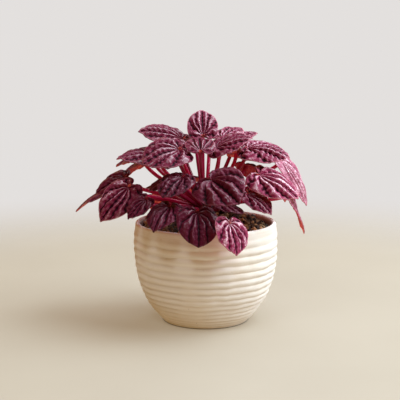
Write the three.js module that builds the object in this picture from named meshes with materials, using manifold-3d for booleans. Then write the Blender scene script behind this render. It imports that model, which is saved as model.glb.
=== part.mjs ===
// A red-leaved peperomia in a ribbed stoneware pot.
//
// The pot is one turned wall with thrown ribs. It is filled with a mound of potting soil, and the
// plant's short crown stands in a plain hole in that soil. Every leaf stalk grows from the crown, so
// the crown and the stalks are one solid. Each heart-shaped, corrugated blade is a solid of its own at
// the end of its stalk. Millimetres and degrees, +Z up, origin at the centre of the pot's foot. The
// front of the plant faces -Y.

import * as THREE from 'three';
import { mergeVertices } from 'three/addons/utils/BufferGeometryUtils.js';
import Module from 'manifold-3d';

// ---------------------------------------------------------------- driving dimensions

const FIT_GAP = 0.3; // between pieces that touch
const AROUND = 36; // facets round the pot, the soil and the crown
const ALMOST_FLAT = 0.01; // degrees of bend that stand for none
const WELD = 1e-4; // points this close are one
const LIP_TURNS = [0, 45, 90, 135, 180]; // degrees round the half-round lip

const POT = {
  footRadius: 41,
  footHeight: 1,
  springRadius: 42, // where the wall springs from the foot
  lowerPull: [57, 15], // the wall heads for this point, radius and height, as it leaves the foot
  bellyPull: [70, 36], // and swells towards this one
  bellyRadius: 70,
  bellyHeight: 74,
  bellyTop: 84,
  rimRadius: 68.5,
  height: 97,
  wall: 4.6,
  floor: 7,
  insideStops: [0.955, 0.76, 0.56, 0.42, 0.3, 0.2, 0.12], // shares of the wall with a point inside
  ribDepth: 1.1,
  ribCount: 13,
  ribStart: 9.5, // along the wall, from the foot
  ribSpacing: 4.98,
  ribGrowth: 0.13, // each rib is a little wider than the one below
  ribStops: [0, 0.3, 0.7], // the groove and two points of the rounded crest
};

const SOIL = {
  mound: 14, // rise from the edge to the middle
  lump: 1.3,
  lumpPitch: 15,
  coarseShare: 0.6, // size of the slow swells beside the lumps
  coarseRun: [0.5, -0.8], // how fast they pass along X and along Y beside the lumps
  evenEdge: 8, // the higher, the closer to the pot the lumps reach
  rings: 6,
};

const CROWN = {
  radius: 8,
  bottom: 82,
  top: 112,
  taper: 6, // height over which its foot and its head narrow
  narrow: 0.78, // share of the radius left there
  stalkRoot: 106, // height inside the crown at which the stalks start
  stalkSpread: 4,
};

const STALK = {
  radius: 1.9,
  sides: 6,
  steps: 6,
  lift: 0.35, // a stalk leaves the crown above the straight line to its blade
  rise: 0.4, // share of its length for which it keeps that direction
  drop: 0.22, // share of its length for which it keeps the direction of the blade
};

const BLADE = {
  thickness: 0.9,
  ridges: 4, // on each side of the midrib
  relief: 0.07, // ridge height as a share of the blade's length
  swell: 3, // how much the ridges rise between the stalk and the margin
  marginRelief: 0.35, // share of the ridge height left at the margin
  wave: 0.022, // margin wave as a share of the blade's length
  veinSpread: 1.2, // above 1 the veins end closer together near the tip
  veinCurve: 1.3, // how soon the veins turn from the fan towards the tip
  rings: 3,
  turnPerLeaf: 137.5, // gives each leaf its own margin wave
};

// Half of the blade's outline for a length of 1, as two cubic curves: from the tip to the widest
// place, and from there round the lobe to the notch where the stalk arrives. The tip is between a
// pointed one and a blunt one.
const POINTED_TIP = [[1, 0], [0.88, 0.1], [0.7, 0.56], [0.2, 0.52]];
const BLUNT_TIP = [[1, 0], [0.99, 0.34], [0.7, 0.54], [0.2, 0.52]];
const OUTLINE_LOBE = [[0.2, 0.52], [-0.2, 0.54], [-0.42, 0.17], [-0.07, 0]];
const TIP_SHARE = 0.6;

// One row for each leaf. The point is where the stalk meets the blade. aim is the compass direction
// of the midrib, from +X towards +Y. pitch lifts the tip, and roll lifts the blade's left side.
// width is a factor. arch, cup and twist bend the blade along, across and about its midrib. blunt is
// 0 for a pointed tip and 1 for a round one.
const LEAVES = [
  //  x    y    z   aim pitch roll length width arch cup twist blunt
  // the crest of the plant
  [-3, 4, 181, 92, 46, 0, 30, 0.98, 0, -14, 0, 0.4],
  [-5, -30, 169, 94, 22, 0, 29, 0.95, 10, -18, 0, 0.6],
  [-26, -30, 170, -142, -4, -30, 40, 1.02, 30, 8, 6, 0.3],
  [-24, 10, 176, -162, 21, -28, 43, 0.9, 26, 12, -6, 0],
  [16, 22, 176, 50, 20, 14, 31, 0.9, 12, 10, 0, 0.4],
  [10, -15, 170, -9, 28, 26, 36, 0.95, 24, 10, -8, 0.2],
  [28, 36, 175, 25, 10, 8, 27, 0.9, 10, 10, 0, 0],
  [40, -10, 169.5, -7, 2, 24, 42, 0.88, 32, 28, 8, 0.1],
  // the left side
  [-44, -5, 160, -158, 9, -22, 43, 0.95, 22, 8, 8, 0],
  [-53, 38, 155, 165, -7, 8, 40, 0.85, 20, 10, 0, 0],
  [-78, -8, 140, -170, -18, -30, 32, 0.84, 24, 10, 0, 0.2],
  [-88, 18, 128, 178, -24, -4, 48, 0.8, 18, 8, 10, 0],
  [-73, -32, 134, -138, -34, -38, 42, 0.72, 30, 30, -6, 0.1],
  [-56, -52, 126, -140, -30, -26, 25, 0.8, 22, 10, 0, 0],
  [-22.5, -48, 146, -126, -16, -12, 31, 0.98, 30, 6, 0, 0.5],
  [-38, -24, 140, -155, -18, -10, 19, 0.95, 20, 10, 0, 0.3],
  // the front
  [-34, -58, 120, -117, -20, -4, 34, 0.94, 28, 10, 4, 0.1],
  [-8, -71, 117, -83, -46, -6, 33, 1.14, 30, 12, 0, 0.5],
  [21, -76, 108, -65, -50, -12, 31, 1.04, 14, 8, 8, 0.1],
  [5, -52, 144, -60, -10, 32, 43, 1.08, 34, 0, 0, 0.3],
  [13, -38, 119, -30, -6, 4, 26, 0.95, 14, 8, 0, 0.3],
  // the right side
  [75, 15, 153.5, -12, -46, 20, 51, 0.5, 34, 10, -10, 0.3],
  [51, -29, 145.5, -30, -17, 30, 43, 0.84, 28, 30, -6, 0.2],
  [80, 14, 120, 2, -57, 16, 43, 0.74, 16, -14, -26, 0],
  [40, -38, 128.5, -38, -22, 12, 30, 0.8, 24, 10, 8, 0.1],
  [40, 30, 147, 62, -30, 0, 28, 0.9, 26, 10, 0, 0.3],
  [30, 18, 161, 20, -10, -20, 30, 0.9, 18, 10, 0, 0.2],
  // the back, hidden in the front view
  [-60, 18, 152.5, 150, -25, 0, 31, 0.9, 24, 10, 0, 0.2],
  [62, 42, 130, 32, -32, 0, 33, 0.95, 26, 10, 8, 0.2],
  [44, 64, 118, 50, -34, 0, 29, 1.0, 26, 10, 0, 0.5],
  [0, 70, 118, 92, -40, 0, 40, 1.0, 26, 10, -8, 0.3],
  [-36, 62, 117, 120, -36, 0, 38, 1.0, 26, 10, 6, 0.4],
  [-62, 40, 112, 150, -44, 0, 26, 0.85, 24, 10, 0, 0.2],
  [4, 54, 167, 80, -10, 0, 34, 0.95, 30, 10, 8, 0.4],
  [-22, 48, 162, 118, -4, 0, 36, 1.0, 30, 10, -8, 0.3],
  [-9, 24, 172, 120, 4, 0, 30, 1.0, 26, 10, 0, 0.5],
  [17, 42, 133, 68, -8, 0, 32, 0.95, 18, 10, 0, 0.3],
  [-14, 43, 132, 104, -8, 0, 31, 0.95, 18, 10, 0, 0.4],
  [-38, 36, 128, 138, -8, 0, 31, 0.95, 18, 10, 0, 0.2],
  [47, -6, 133, -6, -14, 0, 29, 0.95, 22, 10, 0, 0.3],
];

const COLOURS = {
  stoneware: new THREE.MeshStandardMaterial({ color: 0xe9dfcd, roughness: 0.62, metalness: 0 }),
  soil: new THREE.MeshStandardMaterial({ color: 0x4a3322, roughness: 0.95, metalness: 0 }),
  stalk: new THREE.MeshStandardMaterial({ color: 0x9c1738, roughness: 0.45, metalness: 0 }),
  blade: new THREE.MeshStandardMaterial({ color: 0x6d2440, roughness: 0.42, metalness: 0 }),
};

const rad = THREE.MathUtils.degToRad;
const wasm = await Module();
wasm.setup();

// ---------------------------------------------------------------- solids

function toSolid(geometry) {
  const bare = geometry.clone();
  bare.deleteAttribute('normal');
  bare.deleteAttribute('uv');
  const merged = mergeVertices(bare, WELD);
  const vertProperties = merged.attributes.position.array;
  const triVerts = new Uint32Array(merged.index.array);
  return new wasm.Manifold(new wasm.Mesh({ numProp: 3, vertProperties, triVerts }));
}

function toGeometry(solid) {
  const mesh = solid.getMesh();
  const geometry = new THREE.BufferGeometry();
  geometry.setAttribute('position', new THREE.BufferAttribute(mesh.vertProperties, 3));
  geometry.setIndex(new THREE.BufferAttribute(mesh.triVerts, 1));
  geometry.computeVertexNormals();
  return geometry;
}

// LatheGeometry turns its profile about Y, so the turned solid is laid over to stand along Z.
function turned(profile) {
  return new THREE.LatheGeometry(profile, AROUND).rotateX(Math.PI / 2);
}

function named(name, geometry, material) {
  const mesh = new THREE.Mesh(geometry, material);
  mesh.name = name;
  return mesh;
}

// ---------------------------------------------------------------- pot

const wallCurve = new THREE.CurvePath();
wallCurve.add(new THREE.CubicBezierCurve(
  new THREE.Vector2(POT.springRadius, POT.footHeight),
  new THREE.Vector2(...POT.lowerPull),
  new THREE.Vector2(...POT.bellyPull),
  new THREE.Vector2(POT.bellyRadius, POT.bellyHeight),
));
wallCurve.add(new THREE.QuadraticBezierCurve(
  new THREE.Vector2(POT.bellyRadius, POT.bellyHeight),
  new THREE.Vector2(POT.bellyRadius, POT.bellyTop),
  new THREE.Vector2(POT.rimRadius, POT.height - POT.wall / 2),
));
const wallLength = wallCurve.getLength();

// A point of the outer wall, at a length along it from the foot, moved out along its normal.
function wallPoint(along, out) {
  const share = along / wallLength;
  const point = wallCurve.getPointAt(share);
  const tangent = wallCurve.getTangentAt(share);
  return new THREE.Vector2(point.x + tangent.y * out, point.y - tangent.x * out);
}

const ribPlace = (k) => POT.ribStart + POT.ribSpacing * k + POT.ribGrowth * k * k;

// The inside of the wall from under the lip to the floor, moved in towards the axis by a gap.
function innerWall(gap) {
  return POT.insideStops.map((share) => {
    const point = wallPoint(share * wallLength, -POT.wall - gap);
    return new THREE.Vector2(point.x, Math.max(point.y, POT.floor + gap));
  });
}

function lipPoint(turn) {
  const lip = POT.wall / 2;
  const angle = rad(turn);
  return new THREE.Vector2(
    POT.rimRadius - lip + lip * Math.cos(angle),
    POT.height - lip + lip * Math.sin(angle),
  );
}

function potProfile() {
  const profile = [
    new THREE.Vector2(0, 0),
    new THREE.Vector2(POT.footRadius, 0),
    wallPoint(0, 0),
  ];
  for (let k = 0; k < POT.ribCount; k++) {
    const width = ribPlace(k + 1) - ribPlace(k);
    for (const share of POT.ribStops) {
      const out = POT.ribDepth * (Math.sin(Math.PI * share) - 1);
      profile.push(wallPoint(ribPlace(k) + share * width, out));
    }
  }
  const lip = LIP_TURNS.map(lipPoint);
  return [...profile, ...lip, ...innerWall(0), new THREE.Vector2(0, POT.floor)];
}

// ---------------------------------------------------------------- soil

const soilEdge = innerWall(FIT_GAP)[0];

// Height of the lumpy mound at a place in the pot.
function soilHeight(x, y) {
  const share = Math.hypot(x, y) / soilEdge.x;
  const turn = (2 * Math.PI) / SOIL.lumpPitch;
  const fine = Math.sin(turn * x) * Math.cos(turn * y);
  const [runX, runY] = SOIL.coarseRun;
  const coarse = Math.sin(turn * (runX * x + runY * y));
  const lumps = SOIL.lump * (fine + SOIL.coarseShare * coarse) * (1 - share ** SOIL.evenEdge);
  return soilEdge.y + SOIL.mound * (1 - share ** 2) + lumps;
}

function soilGeometry() {
  const hole = CROWN.radius + FIT_GAP;
  const profile = [
    new THREE.Vector2(0, POT.floor + FIT_GAP),
    ...innerWall(FIT_GAP).reverse(),
  ];
  const topStart = profile.length - 1;
  for (let i = 1; i <= SOIL.rings; i++) {
    const r = THREE.MathUtils.lerp(soilEdge.x, hole, i / SOIL.rings);
    profile.push(new THREE.Vector2(r, soilEdge.y));
  }
  profile.push(new THREE.Vector2(hole, CROWN.bottom - FIT_GAP));
  profile.push(new THREE.Vector2(0, CROWN.bottom - FIT_GAP));
  const geometry = turned(profile);
  const position = geometry.attributes.position;
  for (let i = 0; i < position.count; i++) {
    const step = i % profile.length;
    if (step >= topStart && step <= topStart + SOIL.rings) {
      position.setZ(i, soilHeight(position.getX(i), position.getY(i)));
    }
  }
  return geometry;
}

// ---------------------------------------------------------------- blades

function cubic([a, b, c, d], t) {
  const s = 1 - t;
  return [0, 1].map((i) => s ** 3 * a[i] + 3 * s * s * t * b[i] + 3 * s * t * t * c[i] + t ** 3 * d[i]);
}

// The outline at a share of the way from the tip, 0, to the notch, 1.
function outlinePoint(leaf, u) {
  if (u >= TIP_SHARE) return cubic(OUTLINE_LOBE, (u - TIP_SHARE) / (1 - TIP_SHARE));
  const pointed = cubic(POINTED_TIP, u / TIP_SHARE);
  const blunt = cubic(BLUNT_TIP, u / TIP_SHARE);
  return pointed.map((value, i) => THREE.MathUtils.lerp(value, blunt[i], leaf.blunt));
}

// A point of the blade in its own frame: the stalk meets it at the origin, +X is the midrib and +Z is
// the upper face. vein counts veins from the midrib, 0, to the notch, BLADE.ridges. out goes from the
// stalk, 0, to the margin, 1. The veins leave the stalk fanned out and curve towards the tip.
function bladePoint(leaf, out, vein, side, depth) {
  const rim = (vein / BLADE.ridges) ** BLADE.veinSpread;
  const fanned = rim + (Math.sqrt(rim) - rim) * (1 - out) ** BLADE.veinCurve;
  const [ox, oy] = outlinePoint(leaf, fanned);
  const x = leaf.length * out * ox;
  const y = leaf.length * leaf.width * out * oy * side;
  const swell = BLADE.swell * out * (1 - out) + BLADE.marginRelief * out;
  const ridge = leaf.length * BLADE.relief * swell * Math.abs(Math.sin(Math.PI * vein));
  const turn = Math.atan2(y, x);
  const wave = leaf.length * BLADE.wave * out * out * Math.sin(2 * turn + leaf.phase);
  return bend(leaf, x, y, ridge + wave - depth);
}

// Rolls the flat blade across its width, twists it about the midrib, and rolls it along its length.
function bend(leaf, x, y, z) {
  const acrossRadius = (0.5 * leaf.length) / rad(leaf.cup || ALMOST_FLAT);
  const alongRadius = leaf.length / rad(leaf.arch || ALMOST_FLAT);
  const b = y / acrossRadius;
  const y1 = (acrossRadius + z) * Math.sin(b);
  const z1 = (acrossRadius + z) * Math.cos(b) - acrossRadius;
  const twist = rad(leaf.twist) * (x / leaf.length);
  const y2 = y1 * Math.cos(twist) - z1 * Math.sin(twist);
  const z2 = y1 * Math.sin(twist) + z1 * Math.cos(twist);
  const a = x / alongRadius;
  return new THREE.Vector3(
    (alongRadius + z2) * Math.sin(a),
    y2,
    (alongRadius + z2) * Math.cos(a) - alongRadius,
  );
}

// The blade as one closed solid: the upper and the lower face are split into the same triangles.
function bladeGeometry(leaf) {
  const half = BLADE.ridges * 2;
  const around = half * 2;
  const points = [];
  for (const depth of [0, BLADE.thickness]) {
    points.push(bladePoint(leaf, 0, 0, 1, depth));
    for (let ring = 1; ring <= BLADE.rings; ring++) {
      for (let m = 0; m < around; m++) {
        const side = m <= half ? 1 : -1;
        const vein = (m <= half ? m : around - m) / 2;
        points.push(bladePoint(leaf, ring / BLADE.rings, vein, side, depth));
      }
    }
  }
  const face = 1 + BLADE.rings * around;
  const at = (ring, m) => (ring === 0 ? 0 : 1 + (ring - 1) * around + (m % around));
  const triangles = [];
  for (let m = 0; m < around; m++) {
    for (let ring = 0; ring < BLADE.rings; ring++) {
      const [a, b, c, d] = [at(ring, m), at(ring + 1, m), at(ring + 1, m + 1), at(ring, m + 1)];
      triangles.push([a, b, c], [face + a, face + c, face + b]);
      if (ring > 0) triangles.push([a, c, d], [face + a, face + d, face + c]);
    }
    const [p, q] = [at(BLADE.rings, m), at(BLADE.rings, m + 1)];
    triangles.push([p, face + p, face + q], [p, face + q, q]);
  }
  const geometry = new THREE.BufferGeometry().setFromPoints(points);
  geometry.setIndex(triangles.flat());
  geometry.computeVertexNormals();
  return geometry;
}

function readLeaf(row, index) {
  const [x, y, z, aim, pitch, roll, length, width, arch, cup, twist, blunt] = row;
  return {
    at: new THREE.Vector3(x, y, z),
    turn: new THREE.Euler(rad(roll), rad(-pitch), rad(aim), 'ZYX'),
    phase: rad(BLADE.turnPerLeaf * index),
    length,
    width,
    arch,
    cup,
    twist,
    blunt,
  };
}

// ---------------------------------------------------------------- crown and stalks

function crownGeometry() {
  const { radius, bottom, top, taper, narrow } = CROWN;
  return turned([
    new THREE.Vector2(0, bottom),
    new THREE.Vector2(radius * narrow, bottom),
    new THREE.Vector2(radius, bottom + taper),
    new THREE.Vector2(radius, top - taper),
    new THREE.Vector2(radius * narrow, top - taper / 4),
    new THREE.Vector2(0, top),
  ]);
}

// A stalk rises from the crown and meets its blade squarely from below.
function stalkCurve(leaf) {
  const { at, turn } = leaf;
  const normal = new THREE.Vector3(0, 0, 1).applyEuler(turn);
  const end = at.clone().addScaledVector(normal, -BLADE.thickness - FIT_GAP);
  const outward = new THREE.Vector3(end.x, end.y, 0).normalize();
  const start = outward.clone().multiplyScalar(CROWN.stalkSpread).setZ(CROWN.stalkRoot);
  const length = start.distanceTo(end);
  const away = end.clone().sub(start).normalize();
  away.setZ(away.z + STALK.lift).normalize();
  return new THREE.CubicBezierCurve3(
    start,
    start.clone().addScaledVector(away, STALK.rise * length),
    end.clone().addScaledVector(normal, -STALK.drop * length),
    end,
  );
}

function stalkGeometry(leaf) {
  const section = new THREE.Shape();
  for (let i = 0; i <= STALK.sides; i++) {
    const angle = (2 * Math.PI * i) / STALK.sides;
    const point = [STALK.radius * Math.cos(angle), STALK.radius * Math.sin(angle)];
    if (i === 0) section.moveTo(...point);
    else section.lineTo(...point);
  }
  return new THREE.ExtrudeGeometry(section, { steps: STALK.steps, extrudePath: stalkCurve(leaf) });
}

// ---------------------------------------------------------------- the plant

const leaves = LEAVES.map(readLeaf);

let grown = toSolid(crownGeometry());
for (const leaf of leaves) grown = grown.add(toSolid(stalkGeometry(leaf)));

const plant = new THREE.Group();
plant.add(named('pot', turned(potProfile()), COLOURS.stoneware));
plant.add(named('soil', soilGeometry(), COLOURS.soil));
plant.add(named('crown_with_stalks', toGeometry(grown), COLOURS.stalk));
leaves.forEach((leaf, index) => {
  const name = `leaf_blade_${String(index + 1).padStart(2, '0')}`;
  const blade = named(name, bladeGeometry(leaf), COLOURS.blade);
  blade.position.copy(leaf.at);
  blade.rotation.copy(leaf.turn);
  plant.add(blade);
});

export default plant;
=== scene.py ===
"""A red-leaved peperomia in a ribbed stoneware pot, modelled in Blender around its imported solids.

The pot is traced and spun, then waved a little, as a thrown pot is. The soil is a spun mound strewn
with bark and peat crumbs. Each leaf stalk is a tapered curve from the crown to its blade. The blades
start as one flat heart, a grid laid along the veins. Each leaf is a copy of it that is ridged,
wrinkled, rolled and set at the end of its stalk.

The frame is in metres, +Z up, with its origin at the centre of the pot's foot. The front of the plant
faces -Y. Named values are in millimetres where a heading or a comment says so, and MM turns them into
metres.
"""

import math
import random

import bpy
import numpy as np
from mathutils import Euler, Matrix, Vector


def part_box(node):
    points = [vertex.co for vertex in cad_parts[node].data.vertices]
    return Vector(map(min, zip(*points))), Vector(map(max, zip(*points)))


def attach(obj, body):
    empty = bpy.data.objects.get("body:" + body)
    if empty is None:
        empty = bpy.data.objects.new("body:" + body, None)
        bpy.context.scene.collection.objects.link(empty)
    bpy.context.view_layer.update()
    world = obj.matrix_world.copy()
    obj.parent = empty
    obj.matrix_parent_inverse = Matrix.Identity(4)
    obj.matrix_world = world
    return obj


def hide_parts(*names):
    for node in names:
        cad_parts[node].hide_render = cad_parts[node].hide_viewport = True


bl_info = {
    "name": "Potted Peperomia",
    "version": (1, 0, 0),
    "blender": (4, 5, 0),
    "location": "View3D > Sidebar > Peperomia",
    "description": "Builds a red-leaved peperomia in a ribbed stoneware pot",
    "category": "Add Mesh",
}

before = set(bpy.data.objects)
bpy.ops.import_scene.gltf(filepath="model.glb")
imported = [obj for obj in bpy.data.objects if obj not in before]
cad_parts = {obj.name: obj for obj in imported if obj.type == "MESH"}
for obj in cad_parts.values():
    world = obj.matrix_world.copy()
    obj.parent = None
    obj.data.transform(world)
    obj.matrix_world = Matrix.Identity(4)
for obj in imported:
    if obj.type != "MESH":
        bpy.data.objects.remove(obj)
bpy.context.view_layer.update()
POT_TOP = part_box("pot")[1].z

MM = 0.001
SEED = 41
MERGE_DISTANCE = 1e-5
MIX_A, MIX_B, MIX_RESULT = 6, 7, 2  # the colour sockets of a Mix node
BLACK = (0.0, 0.0, 0.0)

# ---------------------------------------------------------------- the pot's outline, millimetres

FOOT_RADIUS = 41
FOOT_RING = 0.6  # share of the radius at which the underside has one more ring
FOOT_CHAMFER = 0.4
WALL_LOWER = ((42, 1), (57, 15), (70, 36), (70, 74))  # from the foot to the belly
WALL_UPPER = ((70, 74), (70, 84), (68.5, 94.7))  # from the belly to the lip
WALL_SAMPLES = 400
INSIDE_STOPS = (0.98, 0.955, 0.86, 0.76, 0.65, 0.56, 0.42, 0.3, 0.2, 0.12)  # shares of the wall
FOOT_LINE_DEPTH = 0.5
FOOT_LINES = ((0, 0), (2, 1), (3.6, 0), (5.6, 1), (7.4, 0))  # along the wall, share of that depth
RIB_STOPS = (0, 0.1, 0.22, 0.36, 0.5, 0.64, 0.78, 0.9)  # from one groove to the next
RIB_END = 1.5  # from the last rib to the wall's end
LIP_TURNS = (0, 30, 60, 90, 120, 150, 180)  # degrees round the lip, from outside to inside
POT_STEPS = 96  # faces round the pot

WAVE_START = (3, 16)  # band above the surface in which the ribs start to wave

# Bands in which the ribs, the painted shade inside and the waves fade, below the wall's end or the
# top of the lip.
RIB_FADE = (22, 6)
INSIDE_SHADE_FADE = (10, 2)
WAVE_FADE = (9, 2)

# ---------------------------------------------------------------- the soil, millimetres

SOIL_STOP = 0.955  # share of the wall at which the soil meets it
UNDER_STOPS = (0.88, 0.8, 0.72)  # the same along the soil's underside
EDGE_GAP = 0.1  # from the soil's edge to the wall
UNDER_GAP = 0.3
SOIL_RINGS = 15
SOIL_STEPS = 48  # faces round the soil
LUMP_CALM = 8  # above 1 the lumps reach close to the wall
TOP_SKIN = 0.4  # how far below its edge the soil still has lumps
CRUMB_PITCH = 4
CRUMB_HEIGHT = 3.6
CRUMB_RIM = 2  # along the edge, without crumbly noise
CHIP_SIZES = ((5.6, 3.2, 1.6), (4.2, 3.0, 1.9), (6.4, 2.4, 1.4), (3.6, 2.9, 2.1))
CRUMB_SIZES = ((1.7, 1.5, 1.3), (2.2, 1.7, 1.4), (1.4, 1.2, 1.1))
CRUMB_SEED = 9
CHIP_SHAKE = 0.32  # share of a chip's shortest side
CHIP_CLEAR = 0.8  # from a chip to the wall
CHIP_HEIGHTS = (-0.6, 2.0)  # lowest and highest, from the soil's surface
CHIP_GROWTH = (0.7, 1.15)  # smallest and largest factor on a chip's size
CHIP_SKEW = 2.5  # above 1 more of the chips are dark

# ---------------------------------------------------------------- the stalks, shares of their length

STALK_LIFT = 0.35  # how much steeper than its chord a stalk leaves the crown
STALK_HANDLES = (0.4, 0.22)  # length of the curve's handles at the crown and at the blade
STALK_SLIM = (0.0, 0.5)  # where it grows slimmer
STALK_FLARE = (0.86, 1.0)  # where it flares under the blade
STALK_SAMPLES = 90
STALK_TONES = (0.4, 1.25)  # darkest and brightest

# ---------------------------------------------------------------- the blade's outline, length 1

# Bezier curves of one half: from the tip back to the widest part, and from there to the notch.
POINTED_TIP = ((1, 0), (0.88, 0.1), (0.7, 0.56), (0.2, 0.52))
BLUNT_TIP = ((1, 0), (0.99, 0.34), (0.7, 0.54), (0.2, 0.52))
OUTLINE_LOBE = ((0.2, 0.52), (-0.2, 0.54), (-0.42, 0.17), (-0.07, 0))
TIP_SHARE = 0.6  # of the way from the tip to the notch
LEAST_BEND = 1e-4  # radians, for a blade that isn't bent at all

# ---------------------------------------------------------------- the blade's veins and ridges

RIDGES = 4  # on each side of the midrib
VEIN_SPREAD = 1.2  # above 1 the veins end closer to the tip
VEIN_FAN = 0.5  # below 1 they leave the stalk further apart
VEIN_CURVE = 1.3  # above 1 they turn towards the tip sooner
VEIN_GATHER = 0.4  # how closely the grid's lines gather at the veins
VEIN_SWAY = 0.13  # how far the veins wander in slow waves
VEIN_FLUTTER = 0.09  # and in quick ones
RIDGE_HEIGHTS = (0.72, 1.2)  # factors for the lowest and the highest ridge of a blade
WRINKLE_DRIFT = 1.3  # radians, how far the wrinkles stray from an even pitch
WRINKLE_SKEW = 0.9  # radians, the same across a ridge
DRIFT_LENGTH = 4.3  # millimetres to a radian of that drift
WRINKLE_START = (0.14, 0.4)  # on the way from the stalk, 0, to the margin, 1
WRINKLE_END = (0.85, 1.0)
WRINKLE_CALM = 0.4  # how much shallower the wrinkles are at the margin
WRINKLE_CUT = 1.5  # above 1 the cuts between the wrinkles' ribs are narrow
GLINT_START = 0.55  # how high on a wrinkle's rib the painted glint starts
FORK_STARTS = (0.3, 1.1)  # on the way from the stalk, and above 1 the ridge has no fork
FORK_LENGTH = 0.3
FORK_PLACES = (0.4, 0.6)  # across the ridge
MARGIN_WAVES = 2
MARGIN_RIPPLES = 9
RIPPLE_HEIGHT = 0.35  # millimetres
TURN_PER_LEAF = 137.5  # degrees between the margin's waves on one leaf and on the next
BLADE_TONES = (0.94, 1.06)  # darkest and brightest

# ---------------------------------------------------------------- the stage

CAMERA_PLACE = (-5.6, -1063, 292.6)  # millimetres
CAMERA_TILT = 9.35  # degrees down
LENS = 100
SENSOR = 36
LIGHT_TARGET = (0, 0, 0.11)  # metres, as the places of the lights are
KEY_BEARING = -6  # degrees, from +X towards +Y
KEY_RISE = 50  # degrees
TOP_PLACE = (-0.4, -0.75)  # the heights of these two are settings
SKY_PLACE = (0.5, 0.6)
CONTACT = (0.98, 1.07)  # shares of the foot's radius between which the floor's glow starts
FLOOR_SHADE = 0.94  # the floor's darkest patches, as a share of its colour
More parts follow.
